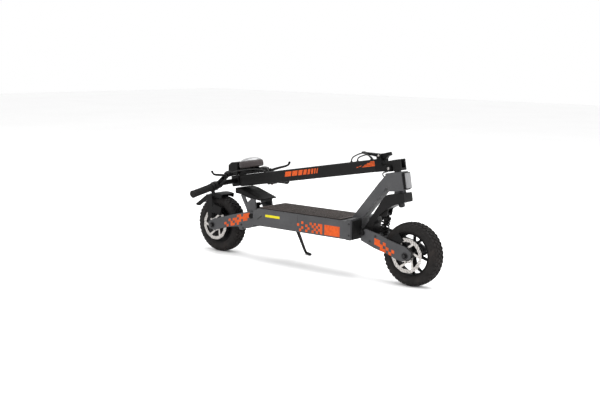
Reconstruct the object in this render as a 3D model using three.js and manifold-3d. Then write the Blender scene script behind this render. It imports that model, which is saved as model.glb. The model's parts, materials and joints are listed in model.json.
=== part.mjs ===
// Electric kick scooter with a folding stem, shown folded, standing on its wheels and its kickstand.
//
// Millimetres, +X forward, +Y to the rider's left, +Z up. Everything is drawn with the rear axle above
// x = 0 and the ground at z = 0; the last lines move the whole scooter so that its origin is the bottom
// centre of its bounding box. The fork, the stem and all that they carry are drawn in the "head frame":
// its z axis is the steering axis, leaning back by RAKE, and its origin is the foot of the steerer.
// Folded, the stem lies square to the steering axis, pointing backwards along the head frame's -x.

import * as THREE from 'three';
import { mergeVertices } from 'three/addons/utils/BufferGeometryUtils.js';
import Module from 'manifold-3d';

const wasm = await Module();
wasm.setup();

// ---------------------------------------------------------------- driving dimensions

const GAP = 0.3; // between two pieces that rest on each other

const WHEELBASE = 1027;
const TYRE_RADIUS = 127.5;
const TYRE_WIDTH = 68;
const BEAD_RADIUS = 84;
const HUB_HALF = 44;
const AXLE_RADIUS = 6;
const BORE_CLEARANCE = 0.6;
const ROTOR_RADIUS = 70;
const ROTOR_Y = [-49.3, -46.7];

const RAKE = THREE.MathUtils.degToRad(10);
const HEAD_ORIGIN = { x: 968, z: 312 };

const DECK = { rear: 268, front: 770, bottom: 163, top: 238, half: 95, wall: 4 };
const MAT = { rear: 298, front: 736, half: 88, top: 243 };
const COLLAR = { front: 790, half: 97, bottom: 162, top: 247 };
const NECK_HALF = 24;
const NECK_DEPTH = 38;
const NECK_FOOT_FRONT = 797;

const HEAD = { bottom: 59, top: 134, half: 26, bore: 19 };
const STEERER_RADIUS = 14;
const CROWN = { bottom: 13, top: 50, half: 30 };
const FOLD_BASE = { rear: -8, front: 29, bottom: 139, top: 183.6, half: 20 };
const TONGUE_HALF = 15.5;
const HINGE_EAR_Y = [16.2, 26];

const HINGE = { x: -23, z: 152 }; // fold hinge pin, in the head frame
const STEM = { end: -822, foot: -88, face: -55, bottom: 143.5, top: 194.5, half: 25, wall: 3 };
const LATCH = { x: -72, z: 207 }; // fold lever's pin

const BAR_RADIUS = 11;
const BAR_HALF = 314;
const GRIP_RADIUS = 16.5;
const BAR_CENTRE = [-844, 171];

const FRONT_PIVOT = { x: 825, z: 194 };
const REAR_PIVOT = { x: 239, z: 196 };
const FRONT_ARM_Y = [54, 62];
const REAR_ARM_Y = [60, 68];
const FRONT_SHOCK = { top: [901, 272], foot: [888, 188] };
const REAR_SHOCK = { top: [215, 238], foot: [178, 150] };
const SHOCK_PIN_RADIUS = 5;

const KICK_PIVOT = [376, 70, 148];
const KICK_AXIS = [-0.42, 0.88, 0.2];
const KICK_FOOT = [341, 188, 7];

// the fender's tip and the front tyre are the scooter's rear and front ends
const FENDER_TIP = [-131, 209];
const MIDDLE_X = (FENDER_TIP[0] + WHEELBASE + TYRE_RADIUS) / 2;

// ---------------------------------------------------------------- materials

function material(color, roughness, metalness) {
  return new THREE.MeshStandardMaterial({ color, roughness, metalness });
}

const grey = material(0x55565a, 0.5, 0.55);
const black = material(0x17171a, 0.5, 0.3);
const blackPlastic = material(0x1b1b1d, 0.6, 0);
const glossBlack = material(0x0c0c10, 0.15, 0);
const rubber = material(0x151412, 0.9, 0);
const matRubber = material(0x2a2422, 0.85, 0);
const steel = material(0xb9bbc0, 0.35, 0.95);
const darkSteel = material(0x3c3d42, 0.4, 0.8);
const lensClear = material(0xc9ccd2, 0.2, 0);
const lensRed = material(0x6a0f12, 0.25, 0);
const batteryBlue = material(0x2f4f7a, 0.6, 0);

// ---------------------------------------------------------------- geometry helpers

const scooter = new THREE.Group();
scooter.position.x = -MIDDLE_X;
const head = new THREE.Group();
head.position.set(HEAD_ORIGIN.x, 0, HEAD_ORIGIN.z);
head.rotation.y = -RAKE;
scooter.add(head);
head.updateMatrix();

function piece(parent, name, geometry, look) {
  const mesh = new THREE.Mesh(geometry, look);
  mesh.name = name;
  parent.add(mesh);
}

function toSolid(geometry) {
  const bare = geometry.index ? geometry.toNonIndexed() : geometry.clone();
  for (const key of Object.keys(bare.attributes)) {
    if (key !== 'position') bare.deleteAttribute(key);
  }
  const merged = mergeVertices(bare, 1e-4);
  return new wasm.Manifold(
    new wasm.Mesh({
      numProp: 3,
      vertProperties: new Float32Array(merged.attributes.position.array),
      triVerts: new Uint32Array(merged.index.array),
    }),
  );
}

function toGeometry(solid) {
  const mesh = solid.getMesh();
  const geometry = new THREE.BufferGeometry();
  geometry.setAttribute('position', new THREE.BufferAttribute(mesh.vertProperties, 3));
  geometry.setIndex(new THREE.BufferAttribute(mesh.triVerts, 1));
  return geometry;
}

function join(...geometries) {
  return toGeometry(geometries.map(toSolid).reduce((all, next) => all.add(next)));
}

function cut(base, ...tools) {
  return toGeometry(tools.map(toSolid).reduce((left, tool) => left.subtract(tool), toSolid(base)));
}

function box(x0, x1, y0, y1, z0, z1) {
  const geometry = new THREE.BoxGeometry(x1 - x0, y1 - y0, z1 - z0);
  return geometry.translate((x0 + x1) / 2, (y0 + y1) / 2, (z0 + z1) / 2);
}

// a closed outline whose corners are rounded by the given radius
function outlineShape(points, radius = 0) {
  const shape = new THREE.Shape();
  const corners = points.map(([x, z]) => new THREE.Vector2(x, z));
  corners.forEach((corner, i) => {
    const before = corners[(i + corners.length - 1) % corners.length];
    const after = corners[(i + 1) % corners.length];
    const reachIn = Math.min(radius, corner.distanceTo(before) * 0.45);
    const reachOut = Math.min(radius, corner.distanceTo(after) * 0.45);
    const start = before.clone().sub(corner).setLength(reachIn).add(corner);
    const end = after.clone().sub(corner).setLength(reachOut).add(corner);
    if (i === 0) shape.moveTo(start.x, start.y);
    else shape.lineTo(start.x, start.y);
    if (radius > 0) shape.quadraticCurveTo(corner.x, corner.y, end.x, end.y);
  });
  shape.closePath();
  return shape;
}

// a plate whose side view is the outline (x, z), reaching from y0 to y1
function plate(points, y0, y1, radius = 0, holes = []) {
  const shape = outlineShape(points, radius);
  for (const hole of holes) {
    shape.holes.push(outlineShape(hole));
  }
  const geometry = new THREE.ExtrudeGeometry(shape, {
    depth: y1 - y0,
    bevelEnabled: false,
    curveSegments: 2,
  });
  return geometry.rotateX(Math.PI / 2).translate(0, y1, 0);
}

// two like plates, one on each side of the scooter
function platePair(points, inner, outer, radius = 0) {
  return [plate(points, inner, outer, radius), plate(points, -outer, -inner, radius)];
}

// points on an arc about (x, z), from one angle to another in degrees
function arc(x, z, radius, from, to, steps) {
  return Array.from({ length: steps + 1 }, (_, i) => {
    const angle = THREE.MathUtils.degToRad(from + ((to - from) * i) / steps);
    return [x + radius * Math.cos(angle), z + radius * Math.sin(angle)];
  });
}

// a straight round rod between two points
function rod(p, q, radius, sides = 12) {
  const start = new THREE.Vector3(...p);
  const span = new THREE.Vector3(...q).sub(start);
  const geometry = new THREE.CylinderGeometry(radius, radius, span.length(), sides);
  const turn = new THREE.Quaternion().setFromUnitVectors(
    new THREE.Vector3(0, 1, 0),
    span.clone().normalize(),
  );
  return geometry.applyQuaternion(turn).translate(...start.addScaledVector(span, 0.5).toArray());
}

// a rod across the scooter, centred on (x, z)
function crossRod([x, z], half, radius, sides = 12) {
  return rod([x, -half, z], [x, half, z], radius, sides);
}

// a straight bar of rectangular section between two points; its height is measured along up
function beam(p, q, width, height, up) {
  const start = new THREE.Vector3(...p);
  const along = new THREE.Vector3(...q).sub(start);
  const middle = start.clone().addScaledVector(along, 0.5);
  const geometry = new THREE.BoxGeometry(along.length(), width, height);
  const x = along.normalize();
  const y = new THREE.Vector3(...up).cross(x).normalize();
  const z = x.clone().cross(y);
  return geometry.applyMatrix4(new THREE.Matrix4().makeBasis(x, y, z).setPosition(middle));
}

// a body of revolution about a cross axis through (x, z); the profile is a closed loop of (radius, y)
function turned(profile, [x, z], sides) {
  const points = [...profile, profile[0]].map(([r, y]) => new THREE.Vector2(r, y));
  return new THREE.LatheGeometry(points, sides).translate(x, 0, z);
}

// the same about the head frame's z axis through (x, 0); the profile is a closed loop of (radius, z)
function turnedUpright(profile, x, sides) {
  const points = [...profile, profile[0]].map(([r, h]) => new THREE.Vector2(r, h));
  return new THREE.LatheGeometry(points, sides).rotateX(Math.PI / 2).translate(x, 0, 0);
}

// a round tube or cable that follows a smooth curve through the points; the number of sides is even
function tube(points, radius, steps, sides = 8) {
  const path = new THREE.CatmullRomCurve3(points.map((p) => new THREE.Vector3(...p)), false, 'centripetal');
  const section = new THREE.Shape();
  section.absarc(0, 0, radius, 0, Math.PI * 2);
  return new THREE.ExtrudeGeometry(section, { steps, extrudePath: path, curveSegments: sides / 2 });
}

// world (x, z) to the head frame's (x, z)
function toHead([x, z]) {
  const dx = x - HEAD_ORIGIN.x;
  const dz = z - HEAD_ORIGIN.z;
  return [dx * Math.cos(RAKE) + dz * Math.sin(RAKE), dz * Math.cos(RAKE) - dx * Math.sin(RAKE)];
}

// a shape drawn in the head frame, moved to where it stands on the scooter
function fromHead(geometry) {
  return geometry.applyMatrix4(head.matrix);
}

function mirrored(points) {
  return points.map(([x, y, z]) => [x, -y, z]);
}

// ---------------------------------------------------------------- deck

function deckPieces() {
  const { rear, front, bottom, top, half, wall } = DECK;
  const chamferEnd = rear + 30;
  const outline = [
    [rear, bottom],
    [front - GAP, bottom],
    [front - GAP, top],
    [chamferEnd, top],
    [rear, top - 15],
  ];
  const hollow = [
    [rear - 5, bottom + wall],
    [front + 5, bottom + wall],
    [front + 5, top - wall],
    [chamferEnd, top - wall],
    [rear - 5, top - wall - 17],
  ];
  const shell = cut(plate(outline, -half, half), plate(hollow, wall - half, half - wall));
  piece(scooter, 'deck_body', shell, grey);

  const mat = box(MAT.rear, MAT.front, -MAT.half, MAT.half, top + GAP, MAT.top);
  piece(scooter, 'deck_mat', mat, matRubber);

  piece(scooter, 'battery_pack', box(300, 640, -84, 84, 168, 230), batteryBlue);
  piece(scooter, 'motor_controller', box(655, 752, -60, 60, 168, 212), darkSteel);
}

// ---------------------------------------------------------------- neck, head and front light

// The neck is one welded frame: a collar that closes the deck, a sloping box tube and the head block.
function neckFrame() {
  const upper = [[741, DECK.top + 2 * GAP], [872, 396]];
  const slope = new THREE.Vector2(upper[1][0] - upper[0][0], upper[1][1] - upper[0][1]).normalize();
  const shift = [slope.y * NECK_DEPTH, -slope.x * NECK_DEPTH];
  const lower = [upper[1][0] + shift[0], upper[1][1] + shift[1]];
  const { front, half, bottom, top } = COLLAR;
  const footTop = lower[1] - ((lower[0] - NECK_FOOT_FRONT) * slope.y) / slope.x;
  const neckOutline = [
    upper[0],
    upper[1],
    [905, 432],
    [925, 400],
    lower,
    [NECK_FOOT_FRONT, footTop],
    [NECK_FOOT_FRONT, bottom],
    [front - 5, bottom],
    [front - 5, upper[0][1]],
  ];
  const neck = plate(neckOutline, -NECK_HALF, NECK_HALF);
  const collar = plate([[DECK.front, bottom], [front, bottom], [front, top], [DECK.front, top]], -half, half);
  const headOutline = [
    [-44, HEAD.top],
    [31, HEAD.top],
    [33, HEAD.bottom + 1],
    [-2, HEAD.bottom],
    [-40, HEAD.bottom + 3],
  ];
  const block = fromHead(plate(headOutline, -HEAD.half, HEAD.half, 5));
  const bore = fromHead(rod([0, 0, HEAD.bottom - 20], [0, 0, HEAD.top + 20], HEAD.bore, 16));
  return cut(join(neck, collar, block), bore);
}

function frontPieces() {
  piece(scooter, 'neck_frame', neckFrame(), grey);

  const ring = (z0, z1) => turnedUpright([[14.9, z0], [24, z0], [24, z1], [14.9, z1]], 0, 20);
  piece(head, 'lower_headset_bearing', ring(CROWN.top + 0.5, HEAD.bottom - 0.5), darkSteel);

  const housing = cut(box(33.4, 42, -21, 21, 64, 130), box(37, 60, -18.4, 18.4, 66.6, 127.4));
  piece(head, 'front_light_housing', housing, blackPlastic);
  piece(head, 'front_light_lens', box(37 + GAP, 46, -18, 18, 67, 127), lensClear);
}

// ---------------------------------------------------------------- rear frame and footrest

// One welded frame closes the deck behind, holds the swingarm's pivot and carries the footrest.
function rearFrame() {
  const bracket = [
    [163, 281.5],
    [197, 222],
    [212, 190],
    [226, 172],
    [262, 170],
    [247, 267.1],
  ];
  const window = [[186, 275], [200, 249], [224, 268]];
  const sides = [-1, 1].map((side) => {
    const [inner, outer] = side > 0 ? [50, 58] : [-58, -50];
    return plate(bracket, inner, outer, 0, [window]);
  });
  const plug = plate([[260, 168], [276, 168], [276, 220], [260, 214]], -90, 90);
  const plugTrim = [box(255, DECK.rear, 58, 95, 160, 225), box(255, DECK.rear, -95, -58, 160, 225)];
  const keel = box(226, DECK.rear - GAP, -50, 50, 154, 180);
  const barrel = crossRod([REAR_PIVOT.x, REAR_PIVOT.z], 58, 17);
  const shockPin = crossRod(REAR_SHOCK.top, 52, SHOCK_PIN_RADIUS);
  const bore = crossRod([REAR_PIVOT.x, REAR_PIVOT.z], 70, AXLE_RADIUS + BORE_CLEARANCE);
  return cut(join(cut(plug, ...plugTrim), keel, barrel, shockPin, ...sides), bore);
}

function rearFramePieces() {
  piece(scooter, 'rear_frame', rearFrame(), grey);
  const wedge = [[272, 264], [272, 271], [168, 304], [131, 309], [131, 284.5], [165, 282.5]];
  piece(scooter, 'footrest', plate(wedge, -56, 56, 2), black);
  piece(scooter, 'tail_light', box(123, 131 - GAP, -48, 48, 287, 307), lensRed);
}

// ---------------------------------------------------------------- fork and steering

function forkArm() {
  const frontEdge = [[952, 316], [913, 294], [880, 267], [853, 228], [850, 186]];
  const rearEdge = [[838, 173], [817, 172], [807, 184], [810, 206], [861, 283], [898, 337]];
  const outline = [
    [35, CROWN.top],
    [35, CROWN.bottom],
    ...[...frontEdge, ...rearEdge].map(toHead),
    [-45, CROWN.top],
  ];
  const arm = plate(outline, -CROWN.half, CROWN.half, 4);
  const knuckle = crossRod(toHead([FRONT_PIVOT.x, FRONT_PIVOT.z]), 52, 17);
  const ear = [[868, 262], [892, 262], [908, 264], [912, 274], [916, 296], [900, 300]].map(toHead);
  const ears = platePair(ear, 14, 19);
  const shockPin = crossRod(toHead(FRONT_SHOCK.top), 16, SHOCK_PIN_RADIUS);
  const bore = crossRod(toHead([FRONT_PIVOT.x, FRONT_PIVOT.z]), 70, AXLE_RADIUS + BORE_CLEARANCE);
  const steererBore = rod([0, 0, 5], [0, 0, 60], STEERER_RADIUS + GAP, 16);
  return cut(join(arm, knuckle, ...ears, shockPin), bore, steererBore);
}

// The base that the folded stem is hinged to: two cheeks with a slot for the latch, and a rear tongue.
function foldBase() {
  const { rear, front, bottom, top, half } = FOLD_BASE;
  const cheeks = plate([[rear, bottom], [front, bottom], [front, top], [rear, top]], -half, half, 2);
  const tongueBack = [[-36, 160], [-36, bottom + 3], [-33, bottom]];
  const tongueOutline = [[rear + 5, bottom], ...arc(HINGE.x, HINGE.z, 30.5, 62, 115, 4), ...tongueBack];
  const tongue = plate(tongueOutline, -TONGUE_HALF, TONGUE_HALF);
  const slot = box(0, front + 10, -12, 12, 149, top + 10);
  const pinBore = crossRod([HINGE.x, HINGE.z], 40, 5.5);
  const steererBore = rod([0, 0, bottom - 5], [0, 0, 146.5], STEERER_RADIUS + GAP, 16);
  return cut(join(cheeks, tongue), slot, pinBore, steererBore);
}

function steeringPieces() {
  const steerer = [[0, -5], [12, -5], [12, CROWN.bottom - GAP], [STEERER_RADIUS, CROWN.bottom - GAP]];
  const profile = [...steerer, [STEERER_RADIUS, 146], [0, 146]].map(([r, z]) => new THREE.Vector2(r, z));
  piece(head, 'steerer', new THREE.LatheGeometry(profile, 16).rotateX(Math.PI / 2), darkSteel);
  piece(head, 'fork_arm', forkArm(), black);
  piece(head, 'fold_base', foldBase(), black);
  const pin = join(
    crossRod([HINGE.x, HINGE.z], 30, 5),
    ...[-1, 1].map((side) => rod([HINGE.x, side * 26.4, HINGE.z], [HINGE.x, side * 30, HINGE.z], 8)),
  );
  piece(head, 'fold_hinge_pin', pin, steel);
  piece(scooter, 'front_pivot_bolt', pivotBolt([FRONT_PIVOT.x, FRONT_PIVOT.z], FRONT_ARM_Y[1]), darkSteel);
}

// ---------------------------------------------------------------- stem and latch

function stemFoot() {
  const { foot, face, bottom, top, half } = STEM;
  const block = box(foot, face, -half - 1, half + 1, bottom - 0.5, top + 0.5);
  const ear = [[face - 2, bottom - 0.5], ...arc(HINGE.x, HINGE.z, 12, -80, 80, 6), [face - 2, 166]];
  const ears = platePair(ear, ...HINGE_EAR_Y);
  const hook = [[-60, 186], [-60, 213], [-24, 216], [-21, 203], [-36, 199], [-44, 190], [-44, 186]];
  const latchTongue = plate(hook, -9, 9);
  const cheek = [[-84, 192], [-84, 207], [-77, 214], [-67, 214], [-61, 207], [-61, 192]];
  const cheeks = platePair(cheek, 10, 14.5);
  const pinBore = crossRod([HINGE.x, HINGE.z], 40, 5.5);
  const latchBore = crossRod([LATCH.x, LATCH.z], 20, 3.4, 12);
  return cut(join(block, ...ears, latchTongue, ...cheeks), pinBore, latchBore);
}

function stemTube() {
  const { end, foot, bottom, top, half, wall } = STEM;
  const section = (inset) =>
    outlineShape(
      [
        [bottom + inset, inset - half],
        [top - inset, inset - half],
        [top - inset, half - inset],
        [bottom + inset, half - inset],
      ],
      7 - inset,
    );
  const ring = section(0);
  ring.holes.push(section(wall));
  const length = foot - GAP - end;
  const tubeShape = new THREE.ExtrudeGeometry(ring, { depth: length, bevelEnabled: false, curveSegments: 3 });
  const turn = new THREE.Matrix4().makeBasis(
    new THREE.Vector3(0, 0, 1),
    new THREE.Vector3(0, 1, 0),
    new THREE.Vector3(-1, 0, 0),
  );
  return tubeShape.applyMatrix4(turn).translate(foot - GAP, 0, 0);
}

function latchPieces() {
  piece(head, 'stem_foot', stemFoot(), black);
  const blade = [
    [LATCH.x + 6, LATCH.z - 5],
    [LATCH.x + 6, LATCH.z + 6],
    [LATCH.x - 3, LATCH.z + 7],
    [-146, 228],
    [-154, 232],
    [-157, 227],
    [-146, 222],
    [-86, 203],
    [-80, LATCH.z - 5],
  ];
  const pin = crossRod([LATCH.x, LATCH.z], 15.5, 2.8, 12);
  piece(head, 'fold_lever', join(plate(blade, -9.5, 9.5, 1), pin), black);
}

// ---------------------------------------------------------------- handlebar and controls

const BAR_HALF_PATH = [
  [BAR_CENTRE[0], 0, BAR_CENTRE[1]],
  [BAR_CENTRE[0], 84, BAR_CENTRE[1]],
  [-839, 130, 168],
  [-832, 176, 162],
  [-832.7, 214, 155],
  [-835, BAR_HALF - 5, 140],
];

// a point on the handlebar's axis, in its straight part, at this distance from the middle
function barPoint(y) {
  const [inner, outer] = [BAR_HALF_PATH[3], BAR_HALF_PATH[5]];
  const t = (Math.abs(y) - inner[1]) / (outer[1] - inner[1]);
  return [inner[0] + (outer[0] - inner[0]) * t, y, inner[2] + (outer[2] - inner[2]) * t];
}

function barTube(radius) {
  const left = BAR_HALF_PATH.slice(1);
  const points = [...mirrored(left).reverse(), BAR_HALF_PATH[0], ...left];
  return tube(points, radius, 22, 12);
}

// a sleeve round the handlebar between two distances from the middle, on the given side
function barSleeve(side, from, to, radius) {
  return rod(barPoint(side * from), barPoint(side * to), radius, 16);
}

const LEVER_PIVOT = [-786, 150, 197];
const LEVER_AXIS = [-0.536, 0, 0.844];

// a point offset from the lever's pivot along its axis
function onLeverAxis(pivot, distance) {
  return pivot.map((value, i) => value + LEVER_AXIS[i] * distance);
}

function onSide(side, [x, y, z]) {
  return [x, side * y, z];
}

function brakePerch(side) {
  const bar = onSide(side, [-835.6, 152, 165.5]);
  const pivot = onSide(side, LEVER_PIVOT);
  const inner = bar.map((value, i) => value + (pivot[i] - value) * 0.72);
  const collar = rod(onSide(side, [-837.6, 139, 167]), onSide(side, [-834, 164, 164]), 17, 14);
  const arm = beam(bar, inner, 20, 18, LEVER_AXIS);
  const earFoot = inner.map((value, i) => value - (pivot[i] - inner[i]) * 0.3);
  const ears = [-1, 1].map((end) =>
    join(
      beam(onLeverAxis(earFoot, end * 7), onLeverAxis(pivot, end * 7), 16, 4, LEVER_AXIS),
      rod(onLeverAxis(pivot, end * 5), onLeverAxis(pivot, end * 9), 8, 10),
    ),
  );
  const pinBore = rod(onLeverAxis(pivot, -14), onLeverAxis(pivot, 14), 2.7, 8);
  return cut(join(collar, arm, ...ears), barTube(BAR_RADIUS + GAP), pinBore);
}

function brakeLever(side) {
  const pivot = onSide(side, LEVER_PIVOT);
  const blade = tube(
    [
      LEVER_PIVOT,
      [-778, 168, 202],
      [-769, 196, 206],
      [-764, 228, 209],
      [-761, 248, 214],
      [-759, 257, 224],
    ].map((p) => onSide(side, p)),
    4.2,
    10,
    6,
  );
  const hub = rod(onLeverAxis(pivot, -4.4), onLeverAxis(pivot, 4.4), 6.5, 10);
  const pin = rod(onLeverAxis(pivot, -11), onLeverAxis(pivot, 11), 2, 8);
  return join(hub, pin, blade);
}

function controlPieces() {
  const bar = barTube(BAR_RADIUS);
  const clampBlock = plate([[-868, 147], [-823, 147], [-823, 195], [-868, 195]], -29, 29, 6);
  piece(head, 'handlebar', bar, black);
  piece(head, 'bar_clamp', cut(clampBlock, barTube(BAR_RADIUS + GAP)), black);
  for (const [side, name] of [[1, 'left'], [-1, 'right']]) {
    const gripStart = side > 0 ? 226 : 206;
    const grip = cut(barSleeve(side, gripStart, BAR_HALF, GRIP_RADIUS), barTube(BAR_RADIUS + GAP));
    piece(head, `grip_${name}`, grip, rubber);
    piece(head, `brake_perch_${name}`, brakePerch(side), black);
    piece(head, `brake_lever_${name}`, brakeLever(side), black);
  }

  // thumb throttle on the right, beside the grip
  const [tx, , tz] = barPoint(-195);
  const bore = barTube(BAR_RADIUS + GAP);
  piece(head, 'throttle_housing', cut(barSleeve(-1, 170, 187, 20), bore), blackPlastic);
  const thumb = [[tx - 9, tz - 10], [tx + 7, tz - 12], [tx + 14, tz - 36], [tx + 7, tz - 38]];
  const tongue = plate(thumb, -201, -190, 1);
  const paddleRing = barSleeve(-1, 188.5, 203, 17);
  piece(head, 'throttle_paddle', cut(join(paddleRing, tongue), barTube(BAR_RADIUS + 1)), blackPlastic);

  // switch pod on the left, with its push button on the rider's side
  const [sx, , sz] = barPoint(202);
  const podBody = join(barSleeve(1, 180, 223, 19), box(sx - 14, sx + 14, 184, 220, sz - 24, sz));
  const socket = rod([sx, 202, sz - 30], [sx, 202, sz - 19], 6.4, 12);
  piece(head, 'switch_housing', cut(podBody, bore, socket), blackPlastic);
  piece(head, 'horn_button', rod([sx, 202, sz - 27], [sx, 202, sz - 22], 5.5, 12), lensRed);
}

const LAMP = { x: -764, radius: 54, bottom: 222, top: 254 };

function lampPieces() {
  const { x, radius, bottom, top } = LAMP;
  const lip = radius - 5;
  const floor = top - 5;
  const shellProfile = [
    [0, bottom],
    [radius - 9, bottom],
    [radius, bottom + 9],
    [radius, top],
    [lip, top],
    [lip, floor],
    [0, floor],
  ];
  const shell = turnedUpright(shellProfile, x, 28);
  const bracket = box(x - 40, x + 8, -19, 19, STEM.top + 2 * GAP, bottom + 1);
  piece(head, 'headlight_housing', join(shell, bracket), black);
  const seat = floor + GAP;
  const rim = lip - 0.6;
  const dome = [[rim, top], [lip - 10, top + 4.5], [lip - 24, top + 7.5], [0, top + 9]];
  const glass = [[0, seat], [rim, seat], ...dome];
  piece(head, 'headlight_lens', turnedUpright(glass, x, 28), lensClear);

  // the display stands behind the headlight, over the bar clamp, and looks up at the rider when riding
  const display = plate([[-876, 204], [-822, 200], [-812, 252], [-846, 256], [-868, 246]], -37, 37, 4);
  const lampRoom = turnedUpright([[0, 190], [radius + 1, 190], [radius + 1, 270], [0, 270]], x, 28);
  piece(head, 'display', cut(display, lampRoom), glossBlack);
}

// ---------------------------------------------------------------- cables

function cablePieces() {
  const stemTop = STEM.top + GAP;
  const loopRoute = [
    [-208, -14, stemTop],
    [-208, -14, stemTop + 5],
    [-198, -14, stemTop + 18],
    [-170, -14, 222],
    [-146, -14, 224],
    [-124, -14, 216],
    [-110, -14, stemTop + 5],
    [-110, -14, stemTop],
  ];
  piece(head, 'cable_loop', tube(loopRoute, 2.6, 14), rubber);
  const neckRoute = [
    [-63, 0, 118],
    [-71, 0, 125],
    [-74, 0, 133],
    [-65, 0, 138],
    [-50, 0, 140],
    [-37, 0, 146],
  ];
  piece(head, 'neck_cable', tube(neckRoute, 2.6, 8), rubber);
  for (const [side, name] of [[1, 'left'], [-1, 'right']]) {
    const route = [
      [-812, 138, 193],
      [-800, 118, 206],
      [-770, 90, 214],
      [-728, 60, 214],
      [-700, 30, 210],
      [-680, 12, stemTop + 5],
      [-680, 12, stemTop],
    ];
    piece(head, `brake_cable_${name}`, tube(route.map((p) => onSide(side, p)), 2.6, 18), rubber);
  }
}

// ---------------------------------------------------------------- suspension

function pivotBolt([x, z], outer) {
  const cap = (side) => rod([x, side * (outer + GAP), z], [x, side * (outer + 6), z], 11, 16);
  return join(crossRod([x, z], outer + 5, AXLE_RADIUS), cap(-1), cap(1));
}

const FRONT_ARM_OUTLINE = [
  [815, 163],
  [834, 212],
  [903, 196],
  [942, 182],
  [1021, 164],
  [1054, 144],
  [1052, 118],
  [1015, 104],
  [984, 110],
  [952, 123],
  [883, 139],
];
const REAR_ARM_OUTLINE = [
  [116, 187],
  [224, 214],
  [258, 209],
  [265, 188],
  [237, 147],
  [170, 124],
  [161, 140],
  [82, 127],
  [14, 105],
  [-22, 112],
  [-25, 140],
  [8, 157],
  [73, 174],
];

// Two plates with the shock's foot pin and a tie bar between them.
function swingarm({ outline, span: [inner, outer], pivot, axle, shockFoot, bridge, hole }) {
  const sides = platePair(outline, inner, outer, 7);
  const pin = crossRod(shockFoot, inner + 2, SHOCK_PIN_RADIUS);
  const tie = box(bridge[0], bridge[1], -inner - 2, inner + 2, bridge[2], bridge[3]);
  const bores = [pivot, axle].map((centre) => crossRod(centre, 90, AXLE_RADIUS + BORE_CLEARANCE));
  return cut(join(...sides, pin, tie), ...bores, crossRod(hole, 90, 5.5));
}

// A coil-over shock in two telescoping halves. Lengths are measured from the foot's eye to the top's.
function shockPieces(end, { top, foot }) {
  const toTop = new THREE.Vector2(top[0] - foot[0], top[1] - foot[1]);
  const length = toTop.length();
  const tilt = Math.atan2(toTop.x, toTop.y);
  const place = (geometry) => geometry.rotateY(tilt).translate(foot[0], 0, foot[1]);
  const eye = (z) => cut(crossRod([0, z], 11, 8.5), crossRod([0, z], 20, SHOCK_PIN_RADIUS + 0.7));
  const upright = (z0, z1, radius) => rod([0, 0, z0], [0, 0, z1], radius, 14);

  const cylinder = cut(
    join(upright(40, length - 7.5, 10.5), upright(length - 17, length - 13, 18.5)),
    upright(38, length - 13, 7),
  );
  piece(scooter, `${end}_shock_upper`, place(join(eye(length), cylinder)), darkSteel);
  const rodPart = join(upright(7.5, 56, 5), upright(11, 15, 18.5));
  piece(scooter, `${end}_shock_lower`, place(join(eye(0), rodPart)), darkSteel);
  const coil = turnedUpright([[12.5, 15.5], [18, 15.5], [18, length - 17.5], [12.5, length - 17.5]], 0, 16);
  piece(scooter, `${end}_spring`, place(coil), black);
}

// A brake caliper straddling the rotor's rim; outer is the face nearest to the swingarm's plate.
function caliper([x, z], angle, outer) {
  const half = 19;
  const block = cut(box(-26, 26, -outer, -38, -half, half), box(-40, 40, -51.2, -44.8, -half - 5, half - 7));
  return block.rotateY(angle).translate(x, 0, z);
}

function axle([x, z], outer) {
  const nut = (side) => rod([x, side * (outer + GAP), z], [x, side * (outer + 7), z], 10.5, 6);
  return join(crossRod([x, z], outer + 9, AXLE_RADIUS), nut(-1), nut(1));
}

function suspensionPieces() {
  const frontAxle = [WHEELBASE, TYRE_RADIUS];
  const rearAxle = [0, TYRE_RADIUS];
  const front = swingarm({
    outline: FRONT_ARM_OUTLINE,
    span: FRONT_ARM_Y,
    pivot: [FRONT_PIVOT.x, FRONT_PIVOT.z],
    axle: frontAxle,
    shockFoot: FRONT_SHOCK.foot,
    bridge: [866, 880, 158, 176],
    hole: [861, 164],
  });
  const rear = swingarm({
    outline: REAR_ARM_OUTLINE,
    span: REAR_ARM_Y,
    pivot: [REAR_PIVOT.x, REAR_PIVOT.z],
    axle: rearAxle,
    shockFoot: REAR_SHOCK.foot,
    bridge: [198, 210, 136, 152],
    hole: [188, 136],
  });
  piece(scooter, 'front_swingarm', front, grey);
  piece(scooter, 'rear_swingarm', rear, grey);
  piece(scooter, 'front_axle', axle(frontAxle, FRONT_ARM_Y[1]), darkSteel);
  piece(scooter, 'rear_axle', axle(rearAxle, REAR_ARM_Y[1]), darkSteel);
  piece(scooter, 'rear_pivot_bolt', pivotBolt([REAR_PIVOT.x, REAR_PIVOT.z], REAR_ARM_Y[1]), darkSteel);
  shockPieces('front', FRONT_SHOCK);
  shockPieces('rear', REAR_SHOCK);
  const frontCaliper = caliper([WHEELBASE - 46, TYRE_RADIUS + 55], -0.7, FRONT_ARM_Y[0] - GAP);
  const rearCaliper = caliper([18, TYRE_RADIUS + 70], 0.25, REAR_ARM_Y[0] - GAP);
  piece(scooter, 'front_caliper', frontCaliper, black);
  piece(scooter, 'rear_caliper', rearCaliper, black);
}

// ---------------------------------------------------------------- wheels

// The tread is made of flats at the tyre's true radius, and one of them is underneath.
function tyre([x, z]) {
  const flats = 36;
  const crown = TYRE_RADIUS / Math.cos(Math.PI / flats);
  const half = TYRE_WIDTH / 2;
  const side = [[BEAD_RADIUS, 24], [95, 32], [108, half], [120, half - 8], [crown, 12]];
  const profile = [...side.map(([r, y]) => [r, -y]), ...side.reverse()];
  return turned(profile, [0, 0], flats).rotateY(Math.PI / flats).translate(x, 0, z);
}

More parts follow.
